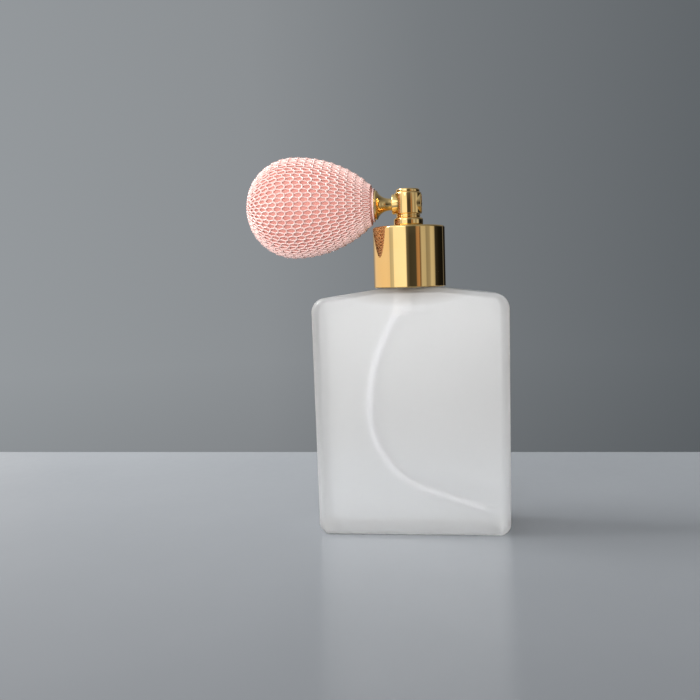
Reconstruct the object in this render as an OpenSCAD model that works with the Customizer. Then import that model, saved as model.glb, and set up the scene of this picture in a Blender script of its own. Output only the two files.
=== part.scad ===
// Refillable perfume atomiser: a flat frosted glass bottle, a screw collar, and a spray
// head that is blown by a rubber squeeze bulb in a knotted net.
// Lengths are in millimetres. The origin is the centre of the bottle's base and +Z is up.
// The bulb points to -X, the nozzle to +X, and the bottle's broad front faces -Y.

/* [Bottle] */
// Width of the bottle at its base
bottle_w_base = 58.6; // [56:0.2:62]
// Width of the bottle just below its shoulders
bottle_w_top = 59.4; // [56:0.2:62]
// Depth of the bottle, front to back
bottle_d = 21; // [20:0.5:26]
// Height of the flat crown that the neck stands on
crown_z = 75; // [72:0.5:80]
// Slope of the shoulders in degrees
shoulder_slope = 7.7; // [5:0.1:9]
// Corner radius at the top of the broad faces
top_corner_r = 4.5; // [3:0.1:5.5]
// Corner radius at the bottom of the broad faces
base_corner_r = 3.2; // [2:0.1:4.5]
// Corner radius of the bottle seen from above
plan_corner_r = 3.5; // [2:0.1:5]
// Thickness of the glass walls
wall = 3; // [2.5:0.1:3.4]
// Thickness of the heavy glass base
floor_t = 6; // [5:0.2:6]
// Thickness of the glass under the crown
roof_t = 5.7; // [5:0.1:7]

/* [Neck finish] */
// Height of the neck above the crown
neck_h = 15.2; // [15:0.1:15.4]
// Radius of the neck between the threads
neck_r = 7.85; // [7.7:0.05:7.95]
// Radius of the neck's bore
bore_r = 4.9; // [4.8:0.05:5.1]
// Height of the thread above its root
thread_h = 1; // [0.8:0.05:1.05]
// Rise of the thread in one turn
thread_pitch = 3.175; // [3:0.025:3.3]
// Gap between the two threads, across their height
thread_gap = 0.3; // [0.25:0.05:0.35]

/* [Collar] */
// Outer radius of the metal collar
collar_r = 11; // [10.8:0.1:12]
// Height of the metal collar
collar_h = 18.45; // [18.3:0.05:18.8]
// Gap between the collar and the bottle's crown
collar_gap = 0.3; // [0.2:0.05:0.4]
// Thickness of the collar's sheet metal
sheet_t = 0.6; // [0.4:0.05:0.7]

/* [Spray head] */
// Radius of the ring under the head
ring_r = 4.5; // [4.3:0.1:5]
// Height of the ring under the head
ring_h = 2.6; // [2.3:0.1:3]
// Radius of the head's groove and of its top cap
groove_r = 3.6; // [3.4:0.05:3.8]
// Height of the groove
groove_h = 1.1; // [0.9:0.05:1.3]
// Radius of the head's main cylinder
head_r = 4.15; // [4:0.05:4.4]
// Height of the head's main cylinder
head_h = 6.6; // [6.5:0.1:7.2]
// Thickness of the top cap's disc
cap_h = 1; // [0.8:0.1:1.6]
// Radius of the two side bosses
boss_r = 3.1; // [2.9:0.05:3.2]
// Height of the bulb's and the nozzle's common axis above the foot of the head's cylinder
axis_rise = 3.15; // [3.1:0.05:3.3]

/* [Bulb] */
// Greatest radius of the net that covers the bulb
bulb_r = 15.55; // [14.5:0.05:16]
// Distance from the bottle's axis to the bulb's mouth
mouth_x = 10.75; // [10.7:0.05:11]
// Distance from the bottle's axis to the bulb's greatest girth
girth_x = 35; // [34:0.2:37]
// Distance from the bottle's axis to the bulb's tail
tail_x = 50.3; // [49.9:0.1:51.2]
// Radius of the long curve from the girth to the mouth
front_curve_r = 35; // [34.5:0.5:38]
// Thickness of the net
net_t = 0.55; // [0.45:0.05:0.6]
// Thickness of the bulb's rubber
rubber_t = 1.7; // [1.5:0.1:1.8]

/* [Hidden] */

// Smoothness of the round parts, and a length that pushes a cut clear of a face
$fn = 64;
eps = 0.5;
// Running clearance of a turning fit, and the play of parts that are pressed together
running = 0.05;
seated = 0.02;

// Heights of the stack above the bottle's crown
neck_top_z = crown_z + neck_h;
gasket_t = 0.8;
plug_z = neck_top_z + gasket_t;
plug_flange_t = 1.4;
plug_flange_r = 7.9;
plug_top_z = plug_z + plug_flange_t;
collar_z = crown_z + collar_gap;
collar_top_z = collar_z + collar_h;
web_z = collar_top_z - sheet_t;
ring_z = collar_top_z + 0.1;
groove_z = ring_z + ring_h;
head_z = groove_z + groove_h;
axis_z = head_z + axis_rise;
cap_z = head_z + head_h;

// The stem that carries liquid up through the collar, and its captive flange
stem_r = 2;
stem_bore_r = 0.9;
stem_foot_z = plug_z - 6.9;
stem_top_z = head_z + 0.6;
flange_r = 3.85;
flange_t = 0.8;
flange_seat_z = plug_top_z - 0.9;

// The plug's lower socket, which grips the dip tube
tube_r = 1.25;
tube_bore_r = 0.65;
socket_z = plug_z - 12;
socket_top_z = stem_foot_z - 0.7;

// The O-ring between plug and stem
o_ring_r = 0.5;
o_ring_z = plug_z - 3.4;

// Inside of the head
chamber_r = 2.4;
chamber_top_z = cap_z - 1.4;
chamber_foot_z = stem_top_z + 0.1;
left_face_x = 4.85;
right_face_x = 4.2;

// The connector between the head and the bulb, by distance from the bottle's axis
spigot_r = 1.72;
spigot_end_x = 2.6;
cone_r = 1.85;
cone_flare_x = 5.6;
flare_curve_r = 4.2;
cone_end_r = 4.2;
cone_end_x = 9.3;
nipple_x = 6.6;
valve_bore_r = 1.2;
outlet_ball_r = 0.95;
ferrule_end_x = 10.5;
nipple_bore_r = 0.7;
nipple_r = 2.3;
barb_r = 2.7;
mouth_bore_r = 2.85;

// The intake valve in the bulb's tail
intake_r = 2.2;
intake_end_x = tail_x - 0.8;
intake_seat_x = intake_end_x - 1.1;
intake_hole_r = 0.65;
intake_bore_r = 1.35;
intake_ball_r = 1.1;
intake_foot_x = intake_end_x - 4.8;

// Half of the slit between the bulb's upper and lower halves
half_slit = 0.1;

GLASS = [0.86, 0.87, 0.87, 0.55];
GOLD = [0.95, 0.76, 0.36];
BRASS = [0.8, 0.64, 0.3];
STEEL = [0.75, 0.76, 0.78];
NYLON = [0.93, 0.93, 0.9];
BLACK_RUBBER = [0.12, 0.12, 0.13];
PINK_RUBBER = [0.86, 0.52, 0.48];
PINK_THREAD = [0.97, 0.78, 0.75];

// Points of an arc about a centre, from one angle to another
function arc(c, r, from, to, n) =
    [for (i = [0:n]) let (a = from + (to - from) * i / n) c + r * [cos(a), sin(a)]];

// Height at which the top corner's circle touches both the side and the sloping shoulder
function corner_z(w, top, crown_half, slope, r) =
    top + ((crown_half - (w / 2 - r)) * sin(slope) - r) / cos(slope);

// Right half of the bottle's front outline, from the base to the crown
function half_front(w0, w1, z0, top, crown_half, slope, r0, r1) = concat(
    arc([w0 / 2 - r0, z0 + r0], r0, -90, 0, 8),
    arc([w1 / 2 - r1, corner_z(w1, top, crown_half, slope, r1)], r1, 0, 90 - slope, 8),
    [[crown_half, top]]);

function mirrored(points) = [for (i = [len(points) - 1:-1:0]) [-points[i][0], points[i][1]]];

// A flat block with the given front outline, rounded at its upright corners
module flask(w0, w1, depth, z0, top, crown_half, slope, r0, r1, plan_r) {
    outline = half_front(w0, w1, z0, top, crown_half, slope, r0, r1);
    w = max(w0, w1);
    plan = [for (q = [0:3]) let (
            sx = (q == 0 || q == 3) ? 1 : -1,
            sy = q < 2 ? 1 : -1,
            c = [sx * (w / 2 - plan_r), sy * (depth / 2 - plan_r)])
        each arc(c, plan_r, 90 * q, 90 * q + 90, 8)];
    intersection() {
        rotate([90, 0, 0])
            linear_extrude(depth + 2 * eps, center = true)
                polygon(concat(outline, mirrored(outline)));
        translate([0, 0, z0 - eps])
            linear_extrude(top - z0 + 2 * eps)
                polygon(plan);
    }
}

// One cross-section of a helical ridge: its corners at an angle and a height
function ridge_section(r_in, r_out, half_in, half_out, a, z) = [
    [r_in * cos(a), r_in * sin(a), z - half_in],
    [r_out * cos(a), r_out * sin(a), z - half_out],
    [r_out * cos(a), r_out * sin(a), z + half_out],
    [r_in * cos(a), r_in * sin(a), z + half_in]];

// A helical ridge about Z that starts at angle 0 and height z0
module ridge(r_in, r_out, half_in, half_out, turns, z0) {
    steps = round(turns * 36);
    points = [for (i = [0:steps])
        each ridge_section(r_in, r_out, half_in, half_out,
            360 * turns * i / steps, z0 + thread_pitch * turns * i / steps)];
    sides = [for (i = [0:steps - 1]) for (k = [0:3]) let (
            a = 4 * i + k,
            b = 4 * i + (k + 1) % 4)
        each [[a, b + 4, a + 4], [a, b, b + 4]]];
    last = 4 * steps;
    polyhedron(points, concat([[3, 2, 1, 0]], sides,
        [[last, last + 1, last + 2, last + 3]]), convexity = 10);
}

// Half widths of a thread at its root and at its crest
thread_root_half = 0.9;
thread_crest_half = 0.4;
// How far a ridge reaches into the wall that carries it
thread_buried = 0.35;
thread_start_z = crown_z + 5.4;
liner_thread_turns = 2;

// Bulb's outline, seen as radius over the distance from the bottle's axis
function front_drop(x, curve_r) = curve_r - sqrt(curve_r * curve_r - (girth_x - x) * (girth_x - x));
function bulb_outline(inset, from_x) = concat(
    [for (i = [0:14]) let (x = from_x + (girth_x - from_x) * i / 14)
        [bulb_r - inset - front_drop(x, front_curve_r), x]],
    [for (i = [1:14]) let (a = 90 * i / 14)
        [(bulb_r - inset) * cos(a), girth_x + (tail_x - girth_x - inset) * sin(a)]]);

// Solid bulb shape, inset from the net's outer surface, cut flat at from_x
module bulb_solid(inset, from_x) {
    outline = bulb_outline(inset, from_x);
    rotate_extrude()
        polygon(concat([[0, from_x]], outline));
}

// Frame of the bulb's axis: +Z runs along the axis to the bulb and +X is up
module on_bulb_axis() {
    translate([0, 0, axis_z])
        rotate([0, -90, 0])
            children();
}

// Frame of the nozzle's axis: +Z runs along the axis, out of the nozzle
module on_nozzle_axis() {
    translate([0, 0, axis_z])
        rotate([0, 90, 0])
            children();
}

// A plain cylinder from one height to another
module rod(r, from, to) {
    translate([0, 0, from])
        cylinder(r = r, h = to - from);
}

// A plain tube from one height to another
module pipe(r, bore, from, to) {
    difference() {
        rod(r, from, to);
        rod(bore, from - eps, to + eps);
    }
}

// Keeps the upper (side = 1) or the lower (side = -1) half of what lies on the bulb's axis
module half(side) {
    reach = 2 * tail_x;
    intersection() {
        children();
        translate([side > 0 ? half_slit : -half_slit - reach, -reach / 2, -eps])
            cube([reach, reach, reach]);
    }
}

module glass_bottle() {
    color(GLASS)
        difference() {
            union() {
                flask(bottle_w_base, bottle_w_top, bottle_d, 0, crown_z, 9.5,
                    shoulder_slope, base_corner_r, top_corner_r, plan_corner_r);
                rod(neck_r, crown_z - 3, neck_top_z);
                ridge(neck_r - thread_buried, neck_r + thread_h, thread_root_half,
                    thread_crest_half, 1.5, thread_start_z);
            }
            flask(bottle_w_base - 2 * wall, bottle_w_top - 2 * wall, bottle_d - 2 * wall,
                floor_t, crown_z - roof_t, bore_r, 2, 3, 3, 2);
            rod(bore_r, crown_z - roof_t - 1, neck_top_z + eps);
        }
}

module neck_gasket() {
    color(NYLON)
        pipe(7.6, bore_r + 0.3, neck_top_z, neck_top_z + gasket_t);
}

// Plug that closes the neck, holds the dip tube and carries the turning stem
module inner_plug() {
    vent_r = 0.45;
    color(NYLON)
        difference() {
            union() {
                rod(plug_flange_r, plug_z, plug_top_z);
                rod(bore_r - 0.3, stem_foot_z - 1.2, plug_z + 0.1);
                rod(tube_r + 1, socket_z, stem_foot_z);
            }
            rod(flange_r + 0.15, flange_seat_z, plug_top_z + eps);
            rod(stem_r + running, stem_foot_z, plug_top_z);
            rod(o_ring_r * 2 + stem_r + 0.1, o_ring_z - 0.55, o_ring_z + 0.55);
            rod(stem_bore_r, socket_top_z - 0.1, stem_foot_z + 0.1);
            rod(tube_r + seated, socket_z - eps, socket_top_z);
            translate([0, -3.7, 0])
                rod(vent_r, stem_foot_z - 2, flange_seat_z + 0.1);
        }
}

// The dip tube's route, in an upright plane through the bottle's axis: down from the
// plug, out to the bulb's side, and round to the opposite corner of the base
tube_plane_turn = -15;
tube_sides = 12;
upper_bend_r = 14;
upper_bend = 31;
upper_run = 8;
middle_bend_r = 54;
lower_bend_r = 25;
lower_bend = 75;
lower_run = 18.5;
tube_top_z = socket_top_z - 0.2;
bend_start_z = socket_z - 0.5;
middle_start = [-upper_bend_r * (1 - cos(upper_bend)) - upper_run * sin(upper_bend),
    bend_start_z - upper_bend_r * sin(upper_bend) - upper_run * cos(upper_bend)];
lower_start = middle_start + middle_bend_r * [cos(upper_bend) - 1, -sin(upper_bend)];
lower_end = lower_start + lower_bend_r * [1 - cos(lower_bend), -sin(lower_bend)];
tube_end = lower_end + lower_run * [sin(lower_bend), -cos(lower_bend)];

// Stations round one bend: place along X, height, and lean of the tube from straight down
function bend(c, r, from, to, lean_from, lean_to, n) = [for (i = [1:n]) let (
        a = from + (to - from) * i / n)
    [c[0] + r * cos(a), c[1] + r * sin(a), lean_from + (lean_to - lean_from) * i / n]];

tube_line = concat(
    [[0, tube_top_z, 0], [0, bend_start_z, 0]],
    bend([-upper_bend_r, bend_start_z], upper_bend_r, 0, -upper_bend, 0, -upper_bend, 6),
    [[middle_start[0], middle_start[1], -upper_bend]],
    bend(middle_start + middle_bend_r * [cos(upper_bend), -sin(upper_bend)],
        middle_bend_r, 180 - upper_bend, 180, -upper_bend, 0, 8),
    bend(lower_start + [lower_bend_r, 0], lower_bend_r, 180, 180 + lower_bend,
        0, lower_bend, 14),
    [[tube_end[0], tube_end[1], lower_bend]]);

// Points round the tube at one station
function tube_ring(p, r) = [for (k = [0:tube_sides - 1]) let (a = 360 * k / tube_sides)
    [p[0] + r * cos(a) * cos(p[2]), r * sin(a), p[1] + r * cos(a) * sin(p[2])]];

module dip_tube() {
    n = len(tube_line);
    m = tube_sides;
    points = [for (r = [tube_r, tube_bore_r]) for (p = tube_line) each tube_ring(p, r)];
    skins = [for (s = [0, 1]) for (i = [0:n - 2]) for (k = [0:m - 1]) let (
            a = s * n * m + i * m + k,
            b = s * n * m + i * m + (k + 1) % m)
        s == 0 ? [a, b, b + m, a + m] : [a, a + m, b + m, b]];
    rims = [for (e = [0, n - 1]) for (k = [0:m - 1]) let (
            a = e * m + k,
            b = e * m + (k + 1) % m)
        e == 0 ? [a, a + n * m, b + n * m, b] : [a, b, b + n * m, a + n * m]];
    color(NYLON)
        rotate([0, 0, tube_plane_turn])
            polyhedron(points, concat(skins, rims), convexity = 10);
}

module stem_o_ring() {
    color(BLACK_RUBBER)
        translate([0, 0, o_ring_z])
            rotate_extrude()
                translate([stem_r + running + o_ring_r, 0])
                    circle(r = o_ring_r, $fn = 32);
}

module collar_shell() {
    edge_r = 0.5;
    color(GOLD)
        difference() {
            rotate_extrude()
                polygon(concat([[0, collar_z], [collar_r, collar_z]],
                    arc([collar_r - edge_r, collar_top_z - edge_r], edge_r, 0, 90, 6),
                    [[0, collar_top_z]]));
            rod(collar_r - sheet_t, collar_z - eps, web_z);
            rod(stem_r + 0.6, web_z - eps, collar_top_z + eps);
        }
}

// Plastic lining of the collar, with the thread that grips the neck
module collar_liner() {
    root_r = neck_r + thread_h + thread_gap;
    floor_z = plug_top_z + running;
    color(NYLON) {
        difference() {
            union() {
                pipe(collar_r - sheet_t - seated, root_r, collar_z + 0.5, floor_z + 0.1);
                rod(collar_r - sheet_t - seated, floor_z, web_z - seated);
                ridge(neck_r + thread_gap, root_r + thread_buried, thread_crest_half,
                    thread_root_half, liner_thread_turns, thread_start_z - thread_pitch / 2);
            }
            rod(stem_r + 0.4, floor_z - eps, web_z + eps);
        }
    }
}

module stem() {
    color(BRASS)
        difference() {
            union() {
                rod(stem_r, stem_foot_z + 0.1, stem_top_z);
                rod(flange_r, flange_seat_z + running, flange_seat_z + running + flange_t);
            }
            rod(stem_bore_r, stem_foot_z - eps, stem_top_z + eps);
        }
}

module lower_ring() {
    edge = 0.25;
    spigot_z = ring_z + 0.8;
    color(GOLD)
        difference() {
            rotate_extrude()
                polygon([[0, ring_z], [ring_r - edge, ring_z], [ring_r, ring_z + edge],
                    [ring_r, groove_z - edge], [ring_r - edge, groove_z], [0, groove_z]]);
            rod(stem_r + seated, ring_z - eps, groove_z);
            rod(groove_r - 0.6 + seated, spigot_z, groove_z + eps);
        }
}

// Body of the spray head: a turned cylinder with a boss on each side
module head_body() {
    edge_r = 0.45;
    color(GOLD)
        difference() {
            union() {
                rotate_extrude()
                    polygon(concat([[0, head_z], [head_r - edge_r / 2, head_z],
                            [head_r, head_z + edge_r / 2]],
                        arc([head_r - edge_r, cap_z - edge_r], edge_r, 0, 90, 6),
                        [[0, cap_z]]));
                rod(groove_r, groove_z, head_z + 0.1);
                rod(groove_r - 0.6, ring_z + 0.85, groove_z + 0.1);
                on_bulb_axis() rod(boss_r, 0, left_face_x);
                on_nozzle_axis() rod(boss_r, 0, right_face_x);
            }
            rod(stem_r + seated, ring_z, stem_top_z + 0.02);
            rod(chamber_r, chamber_foot_z, chamber_top_z + 0.01);
            rod(chamber_r + 0.4, chamber_top_z, cap_z + eps);
            rod(stem_bore_r, stem_top_z, chamber_foot_z + 0.1);
            on_bulb_axis() rod(spigot_r + seated, 0, left_face_x + eps);
            on_nozzle_axis() {
                rod(1.6, 0, 2.8);
                rod(2.2, 2.7, right_face_x);
                rod(2.7, 3.75, right_face_x + eps);
            }
        }
}

// Cap that closes the top of the head's chamber
module top_cap() {
    edge_r = 0.45;
    color(GOLD)
        rotate_extrude()
            polygon(concat(
                [[0, chamber_top_z + 0.05], [chamber_r + 0.4 - seated, chamber_top_z + 0.05],
                    [chamber_r + 0.4 - seated, cap_z], [groove_r, cap_z]],
                arc([groove_r - edge_r, cap_z + cap_h - edge_r], edge_r, 0, 90, 6),
                [[0, cap_z + cap_h]]));
}

// Elbow that leads the liquid from the stem to the middle of the nozzle
module liquid_jet() {
    r = stem_bore_r - seated;
    bore = 0.4;
    color(STEEL)
        difference() {
            union() {
                rod(r, stem_top_z - 1.6, axis_z);
                translate([0, 0, axis_z]) sphere(r = r);
                on_nozzle_axis() {
                    rod(r, 0, 2.4);
                    rod(0.5, 2.3, 3.5);
                }
            }
            rod(bore, stem_top_z - 2, axis_z);
            on_nozzle_axis() rod(bore * 0.75, 0, 4);
        }
}

module nozzle_seal() {
    color(BLACK_RUBBER)
        on_nozzle_axis() pipe(2.15, 1.2, 2.72, 2.95);
}

// Slotted insert that spins the air round the jet
module nozzle_insert() {
    color(BRASS)
        on_nozzle_axis()
            difference() {
                pipe(1.42, 0.55, 3, 3.6);
                for (a = [0, 120, 240])
                    rotate([0, 0, a])
                        translate([0.9, 0.1, 2.5])
                            cube([2, 0.4, 2]);
            }
}

module nozzle_tip() {
    color(GOLD)
        on_nozzle_axis()
            difference() {
                union() {
                    rod(2.18, 2.97, 3.8);
                    rod(2.65, 3.77, right_face_x - 0.05);
                }
                rod(1.45, 2.5, 3.65);
                rod(0.25, 3, right_face_x + eps);
                translate([0, 0, right_face_x - 0.3])
                    cylinder(r1 = 0.25, r2 = 1.1, h = 0.3);
            }
}

// Trumpet-shaped connector that screws into the head's left boss
module connector_cone() {
    sweep = acos(1 - (cone_end_r - cone_r) / flare_curve_r);
    color(GOLD)
        on_bulb_axis()
            difference() {
                rotate_extrude()
                    polygon(concat(
                        [[0, spigot_end_x], [spigot_r, spigot_end_x],
                            [spigot_r, left_face_x + seated], [cone_r, left_face_x + seated]],
                        arc([cone_r + flare_curve_r, cone_flare_x], flare_curve_r,
                            180, 180 - sweep, 12),
                        [[cone_end_r, cone_end_x], [0, cone_end_x]]));
                rod(valve_bore_r, spigot_end_x - eps, nipple_x);
                rod(1.5, nipple_x - 0.05, cone_end_x + eps);
            }
}

// Disc with four notches that lets air past and stops the ball
module notched_disc(r, from, to) {
    difference() {
        rod(r, from, to);
        for (a = [45:90:315])
            rotate([0, 0, a])
                translate([r * 0.82, 0, 0])
                    rod(r * 0.3, from - eps, to + eps);
    }
}

module outlet_valve_retainer() {
    color(NYLON)
        on_bulb_axis() notched_disc(valve_bore_r - seated, 3.3, 3.95);
}

// Distance of a seated ball's centre from the plane of its seat's rim
function seat_offset(ball, rim) = sqrt(ball * ball - rim * rim) + 0.03;

module outlet_valve_ball() {
    color(STEEL)
        on_bulb_axis()
            translate([0, 0, nipple_x - seat_offset(outlet_ball_r, nipple_bore_r)])
                sphere(r = outlet_ball_r);
}

// Barbed nipple that the bulb's mouth is pushed over
module bulb_nipple() {
    end_x = 18;
    color(BRASS)
        on_bulb_axis()
            difference() {
                rotate_extrude()
                    polygon(concat(
                        [[0, nipple_x], [1.48, nipple_x], [1.48, cone_end_x + seated],
                            [nipple_r, cone_end_x + seated], [nipple_r, 12]],
                        [for (x = [12, 14, 16]) each [[barb_r, x], [nipple_r, x + 2]]],
                        [[0, end_x]]));
                rod(nipple_bore_r, nipple_x - eps, end_x + eps);
            }
}

module ferrule_ring() {
    edge = 0.2;
    start_x = cone_end_x + 0.05;
    color(GOLD)
        on_bulb_axis()
            difference() {
                rotate_extrude()
                    polygon([[0, start_x], [ring_r - edge, start_x], [ring_r, start_x + edge],
                        [ring_r, ferrule_end_x - edge], [ring_r - edge, ferrule_end_x],
                        [0, ferrule_end_x]]);
                rod(nipple_r + seated, start_x - eps, ferrule_end_x + eps);
            }
}

module bulb_washer() {
    color(BLACK_RUBBER)
        on_bulb_axis() pipe(4.4, nipple_r + 0.1, ferrule_end_x + 0.02, mouth_x - 0.05);
}

// Cord that gathers the net round the bulb's mouth
module net_binding() {
    cord_r = 0.28;
    color(PINK_THREAD)
        on_bulb_axis()
            translate([0, 0, mouth_x - cord_r - 0.05])
                rotate_extrude()
                    translate([ring_r + 0.45, 0])
                        circle(r = cord_r, $fn = 32);
}

module bulb_rubber(side) {
    skin = net_t + 0.1;
    color(PINK_RUBBER)
        on_bulb_axis()
            half(side)
                difference() {
                    bulb_solid(skin, mouth_x + 0.05);
                    bulb_solid(skin + rubber_t, mouth_x + 5.5);
                    rod(mouth_bore_r, mouth_x - eps, mouth_x + 6);
                    rod(intake_r + 0.1, tail_x - 5, tail_x + eps);
                }
}

module bulb_net(side) {
    color(PINK_THREAD)
        on_bulb_axis()
            half(side)
                difference() {
                    bulb_solid(0, mouth_x);
                    bulb_solid(net_t, mouth_x - 0.01);
                    rod(1, tail_x - 5, tail_x + eps);
                }
}

module bulb_rubber_upper() { bulb_rubber(1); }
module bulb_rubber_lower() { bulb_rubber(-1); }
module bulb_net_upper() { bulb_net(1); }
module bulb_net_lower() { bulb_net(-1); }

module intake_valve_body() {
    color(NYLON)
        on_bulb_axis()
            difference() {
                union() {
                    rod(intake_r, intake_foot_x, intake_end_x);
                    rod(intake_r + 1, intake_end_x - 2.9, intake_end_x - 2.2);
                }
                rod(intake_bore_r, intake_foot_x - eps, intake_seat_x);
                rod(intake_hole_r, intake_foot_x, intake_end_x + eps);
            }
}

module intake_valve_ball() {
    color(STEEL)
        on_bulb_axis()
            translate([0, 0, intake_seat_x - seat_offset(intake_ball_r, intake_hole_r)])
                sphere(r = intake_ball_r);
}

module intake_valve_retainer() {
    color(NYLON)
        on_bulb_axis()
            notched_disc(intake_bore_r - seated, intake_foot_x + 0.1, intake_foot_x + 0.8);
}

glass_bottle();
neck_gasket();
inner_plug();
dip_tube();
stem_o_ring();
collar_shell();
collar_liner();
stem();
lower_ring();
head_body();
top_cap();
liquid_jet();
nozzle_seal();
nozzle_insert();
nozzle_tip();
connector_cone();
outlet_valve_retainer();
outlet_valve_ball();
bulb_nipple();
ferrule_ring();
bulb_washer();
net_binding();
bulb_rubber_upper();
bulb_rubber_lower();
bulb_net_upper();
bulb_net_lower();
intake_valve_body();
intake_valve_ball();
intake_valve_retainer();
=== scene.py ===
"""Looks of a refillable perfume atomiser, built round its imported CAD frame.
"""

import math

import bmesh
import bpy
import numpy as np
from mathutils import Matrix, Vector


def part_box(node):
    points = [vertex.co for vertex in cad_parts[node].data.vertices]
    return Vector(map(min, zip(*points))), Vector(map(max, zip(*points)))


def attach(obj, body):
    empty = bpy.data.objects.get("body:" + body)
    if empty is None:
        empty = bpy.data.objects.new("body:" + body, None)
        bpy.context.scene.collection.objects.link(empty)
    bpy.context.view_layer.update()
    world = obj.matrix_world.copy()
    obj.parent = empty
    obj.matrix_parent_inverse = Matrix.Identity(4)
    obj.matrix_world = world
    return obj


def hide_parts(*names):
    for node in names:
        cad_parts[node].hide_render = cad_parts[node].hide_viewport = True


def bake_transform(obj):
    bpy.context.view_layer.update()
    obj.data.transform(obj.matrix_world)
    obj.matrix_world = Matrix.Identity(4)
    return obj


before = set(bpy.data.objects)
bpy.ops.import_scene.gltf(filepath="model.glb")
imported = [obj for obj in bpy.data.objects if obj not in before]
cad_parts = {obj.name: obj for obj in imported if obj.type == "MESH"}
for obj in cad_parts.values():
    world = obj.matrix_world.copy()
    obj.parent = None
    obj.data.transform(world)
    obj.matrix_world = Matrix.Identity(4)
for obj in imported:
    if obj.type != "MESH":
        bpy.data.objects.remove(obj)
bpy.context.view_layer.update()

MM = 0.001

# A length shorter than this counts as nothing
TINY = 1e-6


# ---------------------------------------------------------------- places taken from the frame

def corners(node):
    """Lowest and highest corner of a CAD node, in millimetres."""
    low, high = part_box(node)
    return low / MM, high / MM


bottle_low, bottle_high = corners("glass_bottle")
collar_low, collar_high = corners("collar_shell")
ring_low, ring_high = corners("lower_ring")
cap_low, cap_high = corners("top_cap")
cone_low, cone_high = corners("connector_cone")
ferrule_low, ferrule_high = corners("ferrule_ring")
binding_low, binding_high = corners("net_binding")
net_low, net_high = corners("bulb_net_upper")
head_high = corners("head_body")[1]
tube_high = corners("dip_tube")[1]

# Sizes that the boxes don't give, as in the CAD
CROWN_Z = 75.0
GROOVE_HEIGHT = 1.1
CAP_HEIGHT = 1.0
GIRTH_X = 35.0

axis_z = (cone_low.z + cone_high.z) / 2
groove_z = ring_high.z
head_z = groove_z + GROOVE_HEIGHT
cylinder_top_z = cap_high.z - CAP_HEIGHT
bulb_r = net_high.z - axis_z
tail_x = -net_low.x
mouth_x = -net_high.x


# ---------------------------------------------------------------- mesh helpers

def tidy_mesh(obj, smooth_angle=35):
    """Merges double points, turns the faces outwards and sets the shading."""
    merge_distance = 1e-4
    work = bmesh.new()
    work.from_mesh(obj.data)
    bmesh.ops.remove_doubles(work, verts=work.verts, dist=merge_distance * MM)
    bmesh.ops.recalc_face_normals(work, faces=work.faces)
    work.to_mesh(obj.data)
    work.free()
    obj.data.shade_smooth()
    obj.data.set_sharp_from_angle(angle=math.radians(smooth_angle))


def mesh_object(name, points, faces, smooth_angle=35):
    """An object from points in millimetres, shaded smooth except across sharp edges."""
    mesh = bpy.data.meshes.new(name)
    mesh.from_pydata([Vector(p) * MM for p in points], [], faces)
    obj = bpy.data.objects.new(name, mesh)
    bpy.context.scene.collection.objects.link(obj)
    tidy_mesh(obj, smooth_angle)
    return obj


def soften(outline, steps):
    """A closed outline of (a, b, radius) corners with each corner turned into an arc.

    An arc takes up at most edge_share of the edges beside it, so that it clears the next one."""
    edge_share, straight = 0.49, math.pi - 1e-3
    out = []
    count = len(outline)
    for i, (a, b, radius) in enumerate(outline):
        here = Vector((a, b))
        before = Vector(outline[i - 1][:2]) - here
        after = Vector(outline[(i + 1) % count][:2]) - here
        angle = before.angle(after)
        if radius <= 0 or angle > straight:
            out.append(here)
            continue
        room = edge_share * min(before.length, after.length)
        reach = min(radius / math.tan(angle / 2), room)
        true_radius = reach * math.tan(angle / 2)
        u, v = before.normalized(), after.normalized()
        centre = here + (u + v).normalized() * (true_radius / math.sin(angle / 2))
        first = here + u * reach - centre
        last = here + v * reach - centre
        sweep = first.angle_signed(last)
        for k in range(steps + 1):
            turn = Matrix.Rotation(-sweep * k / steps, 2)
            out.append(centre + turn @ first)
    return out


# Where a turned solid's axis lies: upright, out towards the bulb, or out towards the nozzle
UPRIGHT = Matrix.Identity(4)
BULB_AXIS = Matrix(((0, 0, -1, 0), (0, 1, 0, 0), (1, 0, 0, axis_z), (0, 0, 0, 1)))
NOZZLE_AXIS = Matrix(((0, 0, 1, 0), (0, 1, 0, 0), (-1, 0, 0, axis_z), (0, 0, 0, 1)))


def turned(name, outline, place=UPRIGHT, segments=96, steps=5):
    """A turned solid. outline is its closed half-section as (radius, distance, corner radius)."""
    section = soften(outline, steps)
    points, faces = [], []
    count = len(section)
    for s in range(segments):
        a = 2 * math.pi * s / segments
        points += [place @ Vector((p.x * math.cos(a), p.x * math.sin(a), p.y)) for p in section]
    for s in range(segments):
        here, there = s * count, (s + 1) % segments * count
        for k in range(count):
            n = (k + 1) % count
            on_axis = section[k].x < TINY and section[n].x < TINY
            if not on_axis:
                faces.append((here + k, here + n, there + n, there + k))
    return mesh_object(name, points, faces)


def combine(target, tool, operation):
    """Adds tool to target, or cuts it away, and removes tool."""
    step = target.modifiers.new("combine", "BOOLEAN")
    step.object, step.operation, step.solver = tool, operation, "EXACT"
    step.material_mode = "TRANSFER"
    bpy.context.view_layer.update()
    solved = bpy.data.meshes.new_from_object(
        target.evaluated_get(bpy.context.evaluated_depsgraph_get()))
    target.modifiers.clear()
    target.data = solved
    bpy.data.objects.remove(tool)
    tidy_mesh(target)


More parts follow.
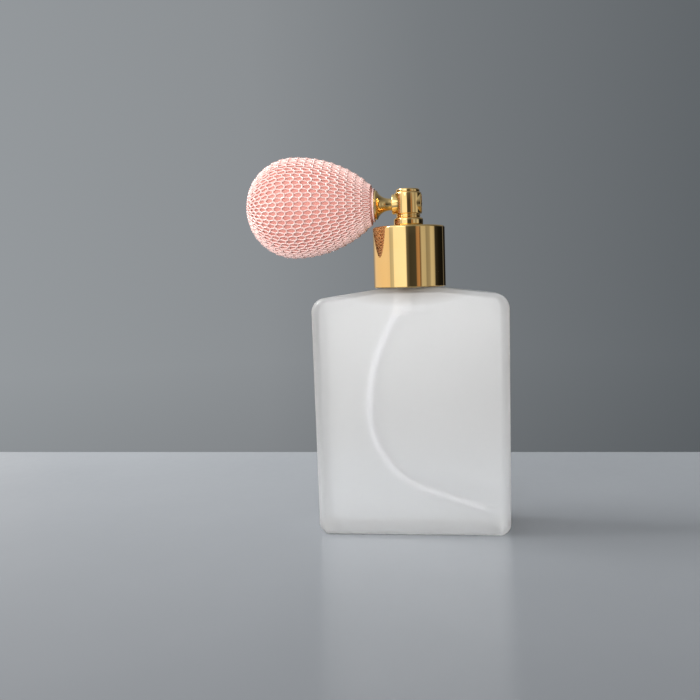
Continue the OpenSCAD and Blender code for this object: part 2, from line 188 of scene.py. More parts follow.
def sweep_rings(points, ups, radii, sides, start=0):
    """Rings of vertices along a line, with the faces between them and at both ends."""
    rings, faces = [], []
    last = len(points) - 1
    for i, p in enumerate(points):
        along = (points[min(i + 1, last)] - points[max(i - 1, 0)]).normalized()
        up = (ups[i] - along * along.dot(ups[i])).normalized()
        side = along.cross(up)
        for k in range(sides):
            a = 2 * math.pi * k / sides
            rings.append(p + radii[i] * (math.cos(a) * up + math.sin(a) * side))
    for i in range(last):
        a, b = start + i * sides, start + (i + 1) * sides
        for k in range(sides):
            n = (k + 1) % sides
            faces.append((a + k, a + n, b + n, b + k))
    faces.append([start + k for k in range(sides - 1, -1, -1)])
    faces.append([start + last * sides + k for k in range(sides)])
    return rings, faces


def helix(radius, ridge_r, start_z, pitch, turns, per_turn=48):
    """Rings and faces of a ridge that climbs round the upright axis and tapers at its ends."""
    sides, taper_steps, end_share = 8, 6, 0.15
    count = int(turns * per_turn)
    line, ups, radii = [], [], []
    for i in range(count + 1):
        a = 2 * math.pi * i / per_turn
        line.append(Vector((radius * math.cos(a), radius * math.sin(a),
            start_z + pitch * i / per_turn)))
        ups.append(Vector((math.cos(a), math.sin(a), 0)))
        taper = min(1.0, i / taper_steps, (count - i) / taper_steps)
        radii.append(ridge_r * max(end_share, taper))
    return sweep_rings(line, ups, radii, sides)


def add_to(target, other):
    """Joins other into target as one object."""
    work = bmesh.new()
    work.from_mesh(target.data)
    work.from_mesh(other.data)
    work.to_mesh(target.data)
    work.free()
    bpy.data.objects.remove(other)


# ---------------------------------------------------------------- shader helpers

def add_node(tree, kind, inputs=None, **settings):
    """A shader node. An input is linked if it is given a socket, and set if it is a value."""
    node = tree.nodes.new(kind)
    for key, value in settings.items():
        setattr(node, key, value)
    for key, value in (inputs or {}).items():
        if isinstance(value, bpy.types.NodeSocket):
            tree.links.new(value, node.inputs[key])
        else:
            node.inputs[key].default_value = value
    return node


def metres(*sizes):
    """Millimetres turned into metres, for a shader's sockets."""
    return [size * MM for size in sizes]


def own_place(tree):
    """Coordinates in the piece's own frame, in metres."""
    return add_node(tree, "ShaderNodeTexCoord").outputs["Object"]


def ramp(tree, factor, *stops):
    """A colour looked up by factor. Each stop is a place from 0 to 1 and its colour."""
    made = add_node(tree, "ShaderNodeValToRGB", {"Fac": factor})
    band = made.color_ramp
    while len(band.elements) < len(stops):
        band.elements.new(0.5)
    for element, (place, colour) in zip(band.elements, stops):
        element.position = place
        element.color = (*colour, 1)
    return made.outputs["Color"]


def multiply_colour(made, share):
    """Multiplies a material's base colour by a number or colour from its own nodes."""
    tree = made.node_tree
    shade = tree.nodes["Principled BSDF"].inputs["Base Color"]
    scaled = add_node(tree, "ShaderNodeVectorMath", {0: shade.links[0].from_socket, 1: share},
        operation="MULTIPLY")
    tree.links.new(scaled.outputs["Vector"], shade)


# ---------------------------------------------------------------- materials

# The noise keeps mostly between these two values
NOISE_LOW, NOISE_HIGH = 0.3, 0.7


def grain(tree, size, detail=4.0, shift=0):
    """Noise with features of about the given size. shift takes it from another place."""
    moved = add_node(tree, "ShaderNodeMapping", {"Vector": own_place(tree),
        "Location": metres(shift, -shift, shift)})
    noise = add_node(tree, "ShaderNodeTexNoise", {"Vector": moved.outputs["Vector"],
        "Scale": 1 / (size * MM), "Detail": detail})
    return noise.outputs["Fac"]


def surface(name, first, second, patch, roughness, fleck, depth, strength, **constants):
    """A material of two tones in patches, a range of roughness in flecks and a fine relief.

    patch and fleck are the sizes of those features, depth is the relief's, and constants are
    values for the shader's own sockets."""
    made = bpy.data.materials.new(name)
    made.use_nodes = True
    tree = made.node_tree
    tones = ramp(tree, grain(tree, patch), (NOISE_LOW, first), (NOISE_HIGH, second))
    flecks = grain(tree, fleck, detail=6.0, shift=700)
    low, high = roughness
    polish = add_node(tree, "ShaderNodeMapRange", {"Value": flecks, "From Min": NOISE_LOW,
        "From Max": NOISE_HIGH, "To Min": low, "To Max": high})
    relief = add_node(tree, "ShaderNodeBump", {"Height": flecks, "Distance": depth * MM,
        "Strength": strength})
    shader = tree.nodes["Principled BSDF"]
    tree.links.new(tones, shader.inputs["Base Color"])
    tree.links.new(polish.outputs["Result"], shader.inputs["Roughness"])
    tree.links.new(relief.outputs["Normal"], shader.inputs["Normal"])
    for key, value in constants.items():
        shader.inputs[key.replace("_", " ")].default_value = value
    return made


def glass(name, roughness, fleck, strength, clear):
    """Frosted glass. clear is the share of the light that goes in and isn't scattered back."""
    return surface(name, (0.945, 0.945, 0.94), (0.975, 0.975, 0.97), patch=14,
        roughness=roughness, fleck=fleck, depth=0.02, strength=strength,
        Transmission_Weight=clear, IOR=1.5)


FROSTED = glass("frosted_glass", roughness=(0.33, 0.41), fleck=0.25, strength=0.2, clear=0.81)
INNER_GLASS = glass("inner_glass", roughness=(0.20, 0.28), fleck=1.2, strength=0.05, clear=0.74)
GOLD = surface("polished_gold", (1.0, 0.69, 0.28), (1.0, 0.72, 0.32), patch=9,
    roughness=(0.02, 0.05), fleck=0.35, depth=0.006, strength=0.03, Metallic=1.0)
BRASS = surface("turned_brass", (0.62, 0.42, 0.16), (0.76, 0.55, 0.24), patch=3,
    roughness=(0.2, 0.34), fleck=0.3, depth=0.01, strength=0.3, Metallic=1.0)
STEEL = surface("bright_steel", (0.58, 0.59, 0.61), (0.70, 0.71, 0.73), patch=3,
    roughness=(0.12, 0.22), fleck=0.2, depth=0.01, strength=0.2, Metallic=1.0)
PLASTIC = surface("white_plastic", (0.76, 0.76, 0.73), (0.84, 0.84, 0.81), patch=5,
    roughness=(0.34, 0.46), fleck=0.4, depth=0.02, strength=0.25, Subsurface_Weight=0.1)
PLUG_PLASTIC = surface("plug_plastic", (0.40, 0.36, 0.31), (0.46, 0.42, 0.37), patch=4,
    roughness=(0.34, 0.46), fleck=0.4, depth=0.02, strength=0.25, Transmission_Weight=0.4)
TUBE_PLASTIC = surface("tube_plastic", (0.94, 0.94, 0.98), (0.97, 0.97, 1.0), patch=4,
    roughness=(0.3, 0.4), fleck=0.6, depth=0.01, strength=0.2, Transmission_Weight=0.32)
BLACK_RUBBER = surface("black_rubber", (0.012, 0.012, 0.013), (0.024, 0.024, 0.025), patch=2,
    roughness=(0.5, 0.65), fleck=0.25, depth=0.02, strength=0.4)
PINK_RUBBER = surface("pink_rubber", (0.60, 0.25, 0.21), (0.68, 0.32, 0.27), patch=6,
    roughness=(0.34, 0.46), fleck=0.5, depth=0.03, strength=0.3)
PINK_THREAD = surface("pink_thread", (0.84, 0.54, 0.49), (0.90, 0.65, 0.60), patch=1.5,
    roughness=(0.18, 0.30), fleck=0.12, depth=0.05, strength=0.35, Specular_IOR_Level=1.0)


def register(obj, slot, *replaced):
    """Hides the CAD nodes that a new piece stands for. slot is not used."""
    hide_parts(*replaced)


def paint(obj, material, body, slot, *replaced):
    """Gives a new rigid piece its material and body, and hides the CAD nodes it stands for. slot
    is not used.
    """
    obj.data.materials.clear()
    obj.data.materials.append(material)
    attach(obj, body)
    register(obj, slot, *replaced)


# ---------------------------------------------------------------- camera

CAMERA_PLACE = Vector((15.1, -250.3, 78.7))
YAW = math.radians(7.82)
PITCH = math.radians(5.1)
ROLL = math.radians(1.8)
FOCAL_LENGTH = 41.55
SENSOR_WIDTH = 36


def place_camera():
    """Looks along +Y, turned left by YAW, down by PITCH and rolled by ROLL."""
    level = Vector((math.cos(YAW), math.sin(YAW), 0))
    forward = Vector((-math.sin(YAW) * math.cos(PITCH), math.cos(YAW) * math.cos(PITCH),
        -math.sin(PITCH)))
    upward = level.cross(forward)
    right = level * math.cos(ROLL) - upward * math.sin(ROLL)
    up = upward * math.cos(ROLL) + level * math.sin(ROLL)
    lens = bpy.data.cameras.new("camera")
    lens.sensor_width, lens.lens = SENSOR_WIDTH, FOCAL_LENGTH
    camera = bpy.data.objects.new("camera", lens)
    camera.matrix_world = Matrix.Translation(CAMERA_PLACE * MM) @ Matrix(
        (right, up, -forward)).transposed().to_4x4()
    bpy.context.scene.collection.objects.link(camera)
    bpy.context.scene.camera = camera


# ---------------------------------------------------------------- floor, backdrop and light

def studio():
    """World light: a soft room that is bright to the left, with a few tall panels in it.

    Panels and room are levels of light by bearing in degrees: 0 is behind the camera, and 90 is
    to its right. Panels show near the horizon, the room above and below them, and the overhead
    light above and below that. across is 0.5 straight ahead and changes by slope to the right.
    The camera itself sees only a grey wall with painted light, lighter to the left and darker to
    the right, and painted shade below a certain height."""
    world = bpy.data.worlds.new("studio")
    bpy.context.scene.world = world
    world.use_nodes = True
    tree = world.node_tree
    tree.nodes.clear()
    direction = add_node(tree, "ShaderNodeTexCoord").outputs["Generated"]

    def along(axis):
        return add_node(tree, "ShaderNodeVectorMath", {0: direction, 1: axis},
            operation="DOT_PRODUCT").outputs["Value"]

    def maths(operation, first, second=0.0):
        return add_node(tree, "ShaderNodeMath", {0: first, 1: second},
            operation=operation).outputs["Value"]

    def mix(factor, first, second):
        return add_node(tree, "ShaderNodeMix", {"Factor": factor, "A": first, "B": second},
            data_type="RGBA").outputs["Result"]

    def across(slope):
        return maths("ADD", maths("MULTIPLY", sideways, slope), 0.5)

    def panel(degrees, level, tint=(1.0, 1.0, 1.0)):
        return (degrees + 180) / 360, tuple(level * c for c in tint)

    sideways = along((math.cos(YAW), math.sin(YAW), 0))
    away = along((-math.sin(YAW), math.cos(YAW), 0))
    height = along((0, 0, 1))
    bearing = maths("ARCTAN2", sideways, maths("MULTIPLY", away, -1.0))
    round_share = maths("ADD", maths("DIVIDE", bearing, 2 * math.pi), 0.5)
    warm, peach = (1.0, 0.62, 0.40), (1.0, 0.86, 0.76)
    black, white = (0, 0, 0), (1, 1, 1)
    panels = ramp(tree, round_share,
        panel(-180, 0.20), panel(-160, 0.28), panel(-140, 0.82, peach), panel(-84, 0.88, peach),
        panel(-70, 0.84, peach), panel(-68, 0.50), panel(-56, 0.62), panel(-54, 1.05),
        panel(-15, 1.12), panel(-12, 0.14), panel(-3, 0.05), panel(17, 0.06),
        panel(20, 0.36, warm), panel(28, 0.44, warm), panel(31, 0.12, warm), panel(36, 0.52),
        panel(49, 0.48), panel(52, 0.27), panel(64, 0.33), panel(70, 0.58), panel(82, 0.50),
        panel(87, 0.03), panel(104, 0.010), panel(130, 0.006), panel(134, 0.20),
        panel(138, 0.006), panel(165, 0.02), panel(180, 0.20))
    room = ramp(tree, round_share,
        panel(-180, 0.30), panel(-130, 0.62), panel(-60, 1.15), panel(-24, 1.05),
        panel(-12, 0.20), panel(14, 0.12), panel(30, 0.45), panel(76, 0.24), panel(96, 0.08),
        panel(140, 0.18), panel(180, 0.30))
    overhead = ramp(tree, across(-0.5), (0.0, (0.04, 0.045, 0.05)), (0.5, (0.30, 0.31, 0.32)),
        (1.0, (1.9, 1.95, 2.0)))
    steepness = maths("ABSOLUTE", height)
    room_share = ramp(tree, steepness, (0.12, black), (0.34, white))
    overhead_share = ramp(tree, steepness, (0.35, black), (0.9, white))
    light = mix(overhead_share, mix(room_share, panels, room), overhead)
    # Painted light: the wall is lighter to the left, where the light comes from, and darker to
    # the right
    wall = ramp(tree, across(1.15), (0.0, (0.305, 0.325, 0.342)), (0.38, (0.262, 0.278, 0.292)),
        (0.62, (0.185, 0.200, 0.212)), (1.0, (0.112, 0.124, 0.134)))
    seen = add_node(tree, "ShaderNodeLightPath").outputs["Is Camera Ray"]

    # The wall darkens below this height, by this much for each step down, and at most so far
    shade_below, shade_rate, deepest_shade = -0.10, 1.3, 0.2
    foot_shade = maths("MULTIPLY", maths("SUBTRACT", shade_below, height), shade_rate)
    foot_shade = maths("MAXIMUM", maths("MINIMUM", foot_shade, deepest_shade), 0.0)
    background = add_node(tree, "ShaderNodeBackground", {"Color": mix(seen, light, wall),
        "Strength": maths("SUBTRACT", 1.0, maths("MULTIPLY", seen, foot_shade))})
    add_node(tree, "ShaderNodeOutputWorld", {"Surface": background.outputs["Background"]})


def paint_light_falloff(made):
    """Paints light falloff into a material's colour: lighter at the table's back edge, darker
    towards its front.
    """
    dark_y, light_y, darkest, lightest = -130, 100, 0.62, 1.4
    tree = made.node_tree
    place = add_node(tree, "ShaderNodeSeparateXYZ", {"Vector": own_place(tree)})
    level = add_node(tree, "ShaderNodeMapRange", {"Value": place.outputs["Y"],
        "From Min": dark_y * MM, "From Max": light_y * MM, "To Min": darkest,
        "To Max": lightest})
    multiply_colour(made, level.outputs["Result"])


def table():
    """A plain pale table with a straight back edge."""
    back_turn = math.radians(-0.5)
    back_middle = Vector((-45.7, 107.4, 0))
    half_width, depth, thickness = 520, 430, 30
    edge = Vector((math.cos(back_turn), math.sin(back_turn), 0))
    front = Vector((edge.y, -edge.x, 0))
    back = [back_middle - edge * half_width, back_middle + edge * half_width]
    top = back + [p + front * depth for p in reversed(back)]
    underside = [p - Vector((0, 0, thickness)) for p in top]
    obj = mesh_object("table", top + underside,
        [(0, 1, 2, 3), (7, 6, 5, 4), (0, 4, 5, 1), (1, 5, 6, 2), (2, 6, 7, 3), (3, 7, 4, 0)])
    pale = surface("pale_table", (0.312, 0.332, 0.356), (0.327, 0.347, 0.371), patch=60,
        roughness=(0.14, 0.20), fleck=3, depth=0.01, strength=0.05, Specular_IOR_Level=0.8)
    # Painted light: the table is lighter at its back edge and darker towards its front
    paint_light_falloff(pale)
    obj.data.materials.append(pale)


def lamp(name, bearing, elevation, distance, size, power, glossy=True):
    """A round lamp aimed at the bottle. Its bearing is counted as the studio's panels are."""
    data = bpy.data.lights.new(name, "AREA")
    data.shape, data.size, data.energy = "DISK", size * MM, power
    obj = bpy.data.objects.new(name, data)
    a, h = math.radians(bearing) + YAW, math.radians(elevation)
    away = Vector((math.sin(a) * math.cos(h), -math.cos(a) * math.cos(h), math.sin(h)))
    aim = Vector((0, 0, 70))
    obj.location = (aim + away * distance) * MM
    obj.rotation_euler = (-away).to_track_quat("-Z", "Y").to_euler()
    obj.visible_camera = False
    obj.visible_glossy = glossy
    bpy.context.scene.collection.objects.link(obj)


place_camera()
studio()
table()
lamp("key_lamp", bearing=-98, elevation=42, distance=800, size=300, power=4.3)
lamp("front_lamp", bearing=-30, elevation=29, distance=850, size=460, power=0.6)
lamp("fill_lamp", bearing=-10, elevation=4, distance=900, size=300, power=7.2, glossy=False)
bpy.context.scene.view_settings.view_transform = "Standard"


# ---------------------------------------------------------------- bottle

def flask(name, outline, depth, side_r, edge_r):
    """A block with the given front outline. Its rims are rounded, more at the sides.

    A loop of points at support inside each rim keeps the broad face flat."""
    steps, support = 6, 0.3
    section = soften(outline, 10)
    count = len(section)
    normals = []
    for i, here in enumerate(section):
        a = here - section[i - 1]
        b = section[(i + 1) % count] - here
        first = Vector((a.y, -a.x)).normalized() if a.length > TINY else None
        second = Vector((b.y, -b.x)).normalized() if b.length > TINY else None
        normals.append(((first or second) + (second or first)).normalized())
    points, loops = [], []
    for face in (-1, 1):
        for k in range(-1, steps + 1):
            loop = []
            for p, n in zip(section, normals):
                sideness = abs(n.x) ** 2 * (3 - 2 * abs(n.x))
                r = edge_r + (side_r - edge_r) * sideness
                turn = math.pi / 2 * max(k, 0) / steps
                inset = r * (1 - math.sin(turn)) + (support if k < 0 else 0)
                out = depth / 2 - r * (1 - math.cos(turn))
                q = p - n * inset
                loop.append(len(points))
                points.append(Vector((q.x, face * out, q.y)))
            loops.append(loop)
    half = len(loops) // 2
    order = loops[:half] + loops[half:][::-1]
    faces = []
    for here, there in zip(order, order[1:]):
        for k in range(count):
            n = (k + 1) % count
            faces.append((here[k], here[n], there[n], there[k]))
    faces.append(order[0][::-1])
    faces.append(order[-1])
    return mesh_object(name, points, faces)


def bottle_outline(base_half, top_half, foot, crown_half, top, slope, base_r, top_r, crown_r):
    """Front outline, anticlockwise from the base's right corner. slope is the shoulder's."""
    shoulder = top - (top_half - crown_half) * math.tan(math.radians(slope))
    right_side = [(base_half, foot, base_r), (top_half, shoulder, top_r),
        (crown_half, top, crown_r)]
    return right_side + [(-x, z, r) for x, z, r in reversed(right_side)]


def paint_collar_reflection(made):
    """Paints the collar's brown reflection and shade into a material's colour round the neck's
    foot.

    The painted patch is an oval seen from the front, and the same all the way to the back."""
    half_width, half_height, half_depth, middle_z = 22, 6.5, 1e5, CROWN_Z + 1
    tree = made.node_tree
    place = add_node(tree, "ShaderNodeMapping", {"Vector": own_place(tree),
        "Location": metres(0, 0, middle_z), "Scale": metres(half_width, half_depth, half_height)},
        vector_type="TEXTURE")
    reach = add_node(tree, "ShaderNodeVectorMath", {0: place.outputs["Vector"]},
        operation="LENGTH")
    # Painted reflection and shade: brown in the middle, fading to the material's own colour at
    # the oval's edge
    multiply_colour(made, ramp(tree, reach.outputs["Value"],
        (0.3, (0.44, 0.38, 0.31)), (1.0, (1, 1, 1))))


def bottle():
    wall, floor_t, roof_t = 3, 6, 5.7
    bore_r, neck_r, foot_r = 4.9, 7.85, 9.6
    base_half, top_half = 29.3, bottle_high.x
    depth, rim_z = bottle_high.y - bottle_low.y, bottle_high.z
    # The frosted glass gets the collar's reflection and shade painted round the neck's foot
    paint_collar_reflection(FROSTED)
    body = flask("bottle_glass", bottle_outline(base_half, top_half, foot=0, crown_half=9.5,
        top=CROWN_Z, slope=7.7, base_r=3.2, top_r=4.5, crown_r=14), depth, side_r=2.8, edge_r=1.5)
    sunk_z = CROWN_Z - 3
    combine(body, turned("neck", [(0, sunk_z, 0), (foot_r, sunk_z, 0), (foot_r, CROWN_Z - 0.6, 0),
        (foot_r - 0.25, CROWN_Z - 0.05, 0.2), (neck_r, CROWN_Z + 0.15, 1.1), (neck_r, rim_z, 0.6),
        (0, rim_z, 0)]), "UNION")
    body.data.materials.clear()
    body.data.materials.append(FROSTED)
    hollow = flask("hollow", bottle_outline(base_half - wall, top_half - wall, foot=floor_t,
        crown_half=bore_r, top=CROWN_Z - roof_t, slope=2, base_r=3, top_r=3, crown_r=6),
        depth - 2 * wall, side_r=2.2, edge_r=1.8)
    bore_foot_z, past_rim_z = CROWN_Z - 8, rim_z + 1
    bore = turned("bore", [(0, bore_foot_z, 0), (bore_r, bore_foot_z, 0), (bore_r, past_rim_z, 0),
        (0, past_rim_z, 0)])
    for cutter, finish in ((hollow, INNER_GLASS), (bore, FROSTED)):
        cutter.data.materials.append(finish)
        combine(body, cutter, "DIFFERENCE")
    thread = mesh_object("thread", *helix(radius=7.75, ridge_r=0.95, start_z=CROWN_Z + 5.4,
        pitch=3.175, turns=1.5))
    thread.data.materials.append(FROSTED)
    add_to(body, thread)
    tidy_mesh(body)
    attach(body, "bottle")
    register(body, "frosted_glass", "glass_bottle")


bottle()


# ---------------------------------------------------------------- dip tube

def tube_route():
    """The tube's centre line and the direction across its bends.

    It runs down from the plug, out towards the bulb, and round to the far corner. flat is the
    line in the plane of the bends, which is turned about the bottle's axis."""
    plane_turn = math.radians(-15)
    held_z, bend_z = 81, 78.5
    upper_r, upper_bend, upper_run = 14, math.radians(31), 8
    middle_r = 54
    lower_r, lower_bend, lower_run = 25, math.radians(75), 18.5
    flat = [(0, tube_high.z), (0, held_z), (0, bend_z)]

    def arc(centre_x, centre_z, r, begin, end, steps):
        for i in range(1, steps + 1):
            a = begin + (end - begin) * i / steps
            flat.append((centre_x + r * math.cos(a), centre_z + r * math.sin(a)))

    def straight(length, bend, steps):
        x, z = flat[-1]
        for i in range(1, steps + 1):
            flat.append((x + length * math.sin(bend) * i / steps,
                z - length * math.cos(bend) * i / steps))

    arc(-upper_r, bend_z, upper_r, 0, -upper_bend, 10)
    straight(upper_run, -upper_bend, 3)
    x, z = flat[-1]
    arc(x + middle_r * math.cos(upper_bend), z - middle_r * math.sin(upper_bend),
        middle_r, math.pi - upper_bend, math.pi, 14)
    x, z = flat[-1]
    arc(x + lower_r, z, lower_r, math.pi, math.pi + lower_bend, 26)
    straight(lower_run, lower_bend, 4)
    line = [Vector((u * math.cos(plane_turn), u * math.sin(plane_turn), z)) for u, z in flat]
    return line, Vector((-math.sin(plane_turn), math.cos(plane_turn), 0))


def dip_tube():
    tube_r, sides = 1.25, 20
    line, across = tube_route()
    count = len(line)
    tube = mesh_object("dip_tube_skin",
        *sweep_rings(line, [across] * count, [tube_r] * count, sides), smooth_angle=50)
    tube.data.materials.append(TUBE_PLASTIC)
    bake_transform(tube)
    register(tube, "white_plastic", "dip_tube")


dip_tube()


# ---------------------------------------------------------------- collar and head

# Radius of the hole that the stem stands in
STEM_HOLE_R = 2.02


def collar():
    r, hole_r, sheet_t = collar_high.x, 2.6, 0.6
    web_z = collar_high.z - sheet_t
    paint(turned("collar_gold", [(hole_r, web_z, 0), (r - sheet_t, web_z, 0.2),
        (r - sheet_t, collar_low.z, 0.2), (r, collar_low.z, 0.3), (r, collar_high.z, 0.6),
        (hole_r, collar_high.z, 0)], segments=160, steps=8),
        GOLD, "collar", "gold_metal", "collar_shell")


def lower_ring():
    r, recess_r, web_z = ring_high.x, 3.02, ring_low.z + 0.8
    paint(turned("ring_gold", [(STEM_HOLE_R, ring_low.z, 0), (r, ring_low.z, 0.8),
        (r, ring_high.z, 0.8), (recess_r, ring_high.z, 0), (recess_r, web_z, 0),
        (STEM_HOLE_R, web_z, 0)]), GOLD, "head", "gold_metal", "lower_ring")


def head():
    r, groove_r, boss_r, foot_r = 4.15, 3.6, 3.1, 3.0
    bulb_boss_x, nozzle_boss_x = 4.85, 4.2
    chamber_r, passage_r, cap_seat_r = 2.4, 0.9, 2.8
    spigot_hole_r, jet_hole_r, insert_hole_r, tip_hole_r = 1.74, 1.6, 2.2, 2.7
    insert_x, tip_x, past_boss_x = 2.7, 3.75, 6
    top_z, past_top_z = cylinder_top_z, cylinder_top_z + 1
    foot_z, stem_top_z, chamber_z = ring_low.z + 0.85, head_z + 0.62, head_z + 0.7
    cap_seat_z = top_z - 1.39
    body = turned("head_gold", [(0, foot_z, 0), (foot_r, foot_z, 0), (foot_r, groove_z, 0),
        (groove_r, groove_z, 0.1), (groove_r, head_z, 0.1), (r, head_z, 0.3), (r, top_z, 0.5),
        (0, top_z, 0)])
    for place, reach in ((BULB_AXIS, bulb_boss_x), (NOZZLE_AXIS, nozzle_boss_x)):
        combine(body, turned("boss", [(0, 0, 0), (boss_r, 0, 0), (boss_r, reach, 0.3),
            (0, reach, 0)], place, 72), "UNION")
    combine(body, turned("chamber", [(0, ring_low.z, 0), (STEM_HOLE_R, ring_low.z, 0),
        (STEM_HOLE_R, stem_top_z, 0), (passage_r, stem_top_z, 0), (passage_r, chamber_z, 0),
        (chamber_r, chamber_z, 0), (chamber_r, cap_seat_z, 0), (cap_seat_r, cap_seat_z, 0),
        (cap_seat_r, past_top_z, 0), (0, past_top_z, 0)], segments=64), "DIFFERENCE")
    combine(body, turned("spigot_bore", [(0, 0, 0), (spigot_hole_r, 0, 0),
        (spigot_hole_r, past_boss_x, 0), (0, past_boss_x, 0)], BULB_AXIS, 48), "DIFFERENCE")
    combine(body, turned("nozzle_bore", [(0, 0, 0), (jet_hole_r, 0, 0), (jet_hole_r, insert_x, 0),
        (insert_hole_r, insert_x, 0), (insert_hole_r, tip_x, 0), (tip_hole_r, tip_x, 0),
        (tip_hole_r, past_boss_x, 0), (0, past_boss_x, 0)], NOZZLE_AXIS, 48), "DIFFERENCE")
    paint(body, GOLD, "head", "gold_metal", "head_body")


def head_thread():
    """The end of the screw thread that shows in the head's groove."""
    thread = mesh_object("groove_thread", *helix(radius=3.56, ridge_r=0.17,
        start_z=groove_z + 0.12, pitch=0.55, turns=1.5, per_turn=64))
    thread.data.materials.append(GOLD)
    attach(thread, "head")


def top_cap():
    plug_r, disc_r = 2.78, 3.6
    paint(turned("cap_gold", [(0, cap_low.z, 0), (plug_r, cap_low.z, 0),
        (plug_r, cylinder_top_z, 0), (disc_r, cylinder_top_z, 0.15), (disc_r, cap_high.z, 0.45),
        (0, cap_high.z, 0)]), GOLD, "head", "gold_metal", "top_cap")


def nozzle():
    """A flush button with a small countersunk hole, hollow behind for the insert."""
    face_x, back_x, step_x, pocket_x = head_high.x - 0.05, 2.97, 3.77, 3.65
    shank_r, button_r, pocket_r = 2.18, 2.65, 1.45
    hole_r, sink_r, sink_depth = 0.25, 1.1, 0.25
    paint(turned("nozzle_gold", [(pocket_r, back_x, 0), (shank_r, back_x, 0),
        (shank_r, step_x, 0), (button_r, step_x, 0), (button_r, face_x, 0.12),
        (sink_r, face_x, 0.05), (hole_r, face_x - sink_depth, 0), (hole_r, pocket_x, 0),
        (pocket_r, pocket_x, 0)], NOZZLE_AXIS, 64), GOLD, "head", "gold_metal", "nozzle_tip")


def connector():
    """Trumpet between the head and the bulb, turned in one sweep from its waist to its rim."""
    waist_r, flare_r, rim_r, flare_x, rim_x = 1.85, 4.2, 4.2, 5.6, 9.3
    spigot_r, spigot_x, boss_x = 1.72, 2.6, 4.87
    valve_bore_r, nipple_bore_r, nipple_x, steps = 1.2, 1.5, 6.55, 16
    sweep = math.acos(1 - (rim_r - waist_r) / flare_r)
    flare = [(waist_r + flare_r * (1 - math.cos(sweep * i / steps)),
        flare_x + flare_r * math.sin(sweep * i / steps), 0) for i in range(steps + 1)]
    flare_end_x = flare[-1][1]
    paint(turned("connector_gold", [(valve_bore_r, spigot_x, 0), (spigot_r, spigot_x, 0),
        (spigot_r, boss_x, 0), (waist_r, boss_x, 0)] + flare[:-1] + [(rim_r, flare_end_x, 0.1),
        (rim_r, rim_x, 0.15), (nipple_bore_r, rim_x, 0), (nipple_bore_r, nipple_x, 0),
        (valve_bore_r, nipple_x, 0)], BULB_AXIS), GOLD, "head", "gold_metal", "connector_cone")


def ferrule():
    near_x, far_x = -ferrule_high.x, -ferrule_low.x
    r, hole_r = ferrule_high.z - axis_z, 2.32
    paint(turned("ferrule_gold", [(hole_r, near_x, 0), (r, near_x, 0.3), (r, far_x, 0.3),
        (hole_r, far_x, 0)], BULB_AXIS), GOLD, "head", "gold_metal", "ferrule_ring")


collar()
lower_ring()
head()
head_thread()
top_cap()
nozzle()
connector()
ferrule()


# ---------------------------------------------------------------- bulb

# The radius of the bulb's curve towards its mouth, how far under its outside the net's middle
# and the rubber's skin lie, and how thick the rubber is
FRONT_CURVE_R = 35.0
NET_INSET = 0.3
RUBBER_INSET = 0.65
RUBBER_T = 1.7


def bulb_line(inset, from_x, steps=400):
    """The bulb's half outline: distances from the bottle's axis, radii and lengths along it."""
    front = np.linspace(from_x, GIRTH_X, steps)
    front_radii = (bulb_r - inset - FRONT_CURVE_R
        + np.sqrt(FRONT_CURVE_R ** 2 - (GIRTH_X - front) ** 2))
    a = np.linspace(0, math.pi / 2, steps)[1:]
    back = GIRTH_X + (tail_x - GIRTH_X - inset) * np.sin(a)
    x = np.concatenate([front, back])
    r = np.concatenate([front_radii, (bulb_r - inset) * np.cos(a)])
    lengths = np.concatenate([[0], np.cumsum(np.hypot(np.diff(x), np.diff(r)))])
    return x, r, lengths


def round_bulb(x, r, angle):
    """A point of the bulb. Its angle is 0 on the side of the camera, and 90 degrees on top."""
    return Vector((-x, -r * math.cos(angle), axis_z + r * math.sin(angle)))


net_x, net_r, net_length = bulb_line(NET_INSET, mouth_x)
net_slope_x = np.gradient(net_x, net_length)
net_slope_r = np.gradient(net_r, net_length)


def on_net(length, angle, height):
    """A point of the net, its outward direction and its distance from the bulb's axis."""
    x, r, dx, dr = (float(np.interp(length, net_length, curve))
        for curve in (net_x, net_r, net_slope_x, net_slope_r))
    outward = Vector((dr, -dx * math.cos(angle), dx * math.sin(angle)))
    return round_bulb(x, r, angle) + outward * height, outward, r


def net_half(name, side):
    """Knitted courses over one half of the bulb, as round strands with interlocked loops.

    A strand swings along the bulb by reach, sideways by bow and in and out by lift. It is
    thinner where the net closes, within slim_r of the axis."""
    wales, courses, steps, sides = 36, 18, 14, 6
    reach, bow, lift, strand_r, slim_r = 1.80, 1.15, 0.13, 0.25, 9
    end = net_length[-1]
    first, last = 1.2, end - 2.0
    nearest, farthest = 0.4, end - 1.2
    pitch = (last - first) / courses
    points, faces = [], []
    for c in range(courses):
        middle = last - (c + 0.5) * pitch
        line, ups, radii = [], [], []
        for i in range(wales // 2 * steps + 1):
            t = 2 * math.pi * i / steps
            angle = side * (t + bow * math.sin(2 * t)) / wales
            length = min(max(middle - reach * math.cos(t), nearest), farthest)
            place, outward, r = on_net(length, angle, lift * math.cos(2 * t))
            line.append(place)
            ups.append(outward)
            radii.append(strand_r * min(1.0, max(0.5, r / slim_r)))
        rings, ring_faces = sweep_rings(line, ups, radii, sides, len(points))
        points += rings
        faces += ring_faces
    return mesh_object(name, points, faces, 60)


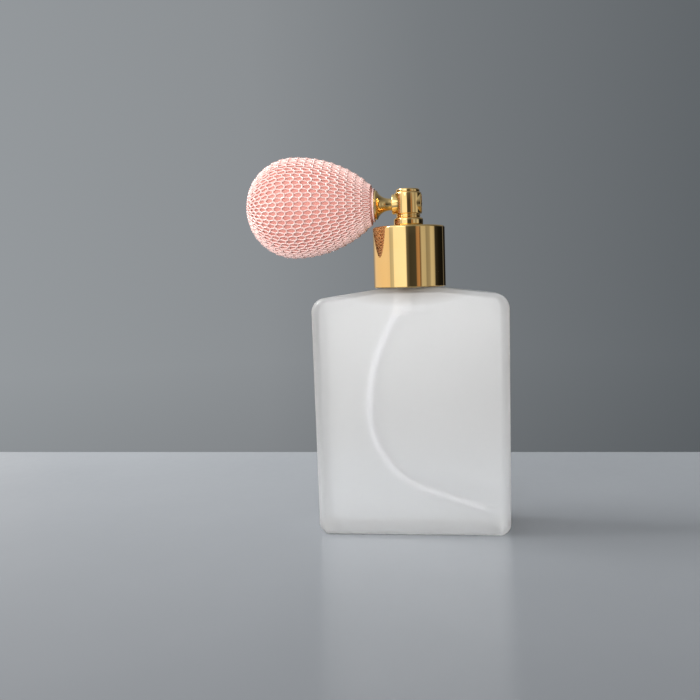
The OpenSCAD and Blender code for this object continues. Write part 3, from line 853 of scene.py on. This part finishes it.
def rubber_half(name, side):
    """One half of the bulb's wall, with its neck round the nipple and its tail hole."""
    hole_r, bore_r, edge_width, edge_depth = 2.3, 2.85, 0.2, 0.1
    front_x, neck_end_x = mouth_x + 0.05, mouth_x + 6
    outer_x, outer_r, _ = bulb_line(RUBBER_INSET, front_x, 22)
    inner_x, inner_r, _ = bulb_line(RUBBER_INSET + RUBBER_T, neck_end_x, 20)
    outer = [(x, r) for x, r in zip(outer_x, outer_r) if r > hole_r + edge_width]
    inner = [(x, r) for x, r in zip(inner_x, inner_r) if r > hole_r + edge_width]
    section = outer + [(outer[-1][0] + edge_depth, hole_r), (inner[-1][0] + edge_depth, hole_r)]
    section += inner[::-1] + [(neck_end_x, bore_r), (front_x, bore_r)]
    spans, count = 48, len(section)
    points, faces = [], []
    for s in range(spans + 1):
        points += [round_bulb(x, r, side * math.pi * s / spans) for x, r in section]
    for s in range(spans):
        here, there = s * count, (s + 1) * count
        for k in range(count):
            n = (k + 1) % count
            faces.append((here + k, here + n, there + n, there + k))
    faces.append(list(range(count))[::-1])
    faces.append([spans * count + k for k in range(count)])
    return mesh_object(name, points, faces)


def bulb():
    """Rubber and net, each in two halves."""
    for half, side in (("upper", 1), ("lower", -1)):
        for piece, material, slot, node in (
                (rubber_half(f"rubber_{half}", side), PINK_RUBBER, "pink_rubber",
                    f"bulb_rubber_{half}"),
                (net_half(f"net_{half}", side), PINK_THREAD, "pink_thread",
                    f"bulb_net_{half}")):
            piece.data.materials.append(material)
            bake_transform(piece)
            register(piece, slot, node)


def binding():
    """The cord that gathers the net round the bulb's mouth."""
    cord_r, sides = 0.28, 14
    centre_x = -(binding_low.x + binding_high.x) / 2
    ring_r = binding_high.z - axis_z - cord_r
    outline = [(ring_r + cord_r * math.cos(a), centre_x + cord_r * math.sin(a), 0)
        for a in (2 * math.pi * k / sides for k in range(sides))]
    paint(turned("binding_cord", outline, BULB_AXIS, 72), PINK_THREAD, "head", "pink_thread",
        "net_binding")


bulb()
binding()


# ---------------------------------------------------------------- CAD nodes that stay

STAYING = {
    "neck_gasket": PLASTIC, "inner_plug": PLUG_PLASTIC, "collar_liner": PLASTIC,
    "outlet_valve_retainer": PLASTIC, "intake_valve_body": PLASTIC,
    "intake_valve_retainer": PLASTIC, "stem": BRASS, "nozzle_insert": BRASS,
    "bulb_nipple": BRASS, "liquid_jet": STEEL, "outlet_valve_ball": STEEL,
    "intake_valve_ball": STEEL, "stem_o_ring": BLACK_RUBBER, "nozzle_seal": BLACK_RUBBER,
    "bulb_washer": BLACK_RUBBER,
}
for node, material in STAYING.items():
    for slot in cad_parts[node].material_slots:
        slot.material = material
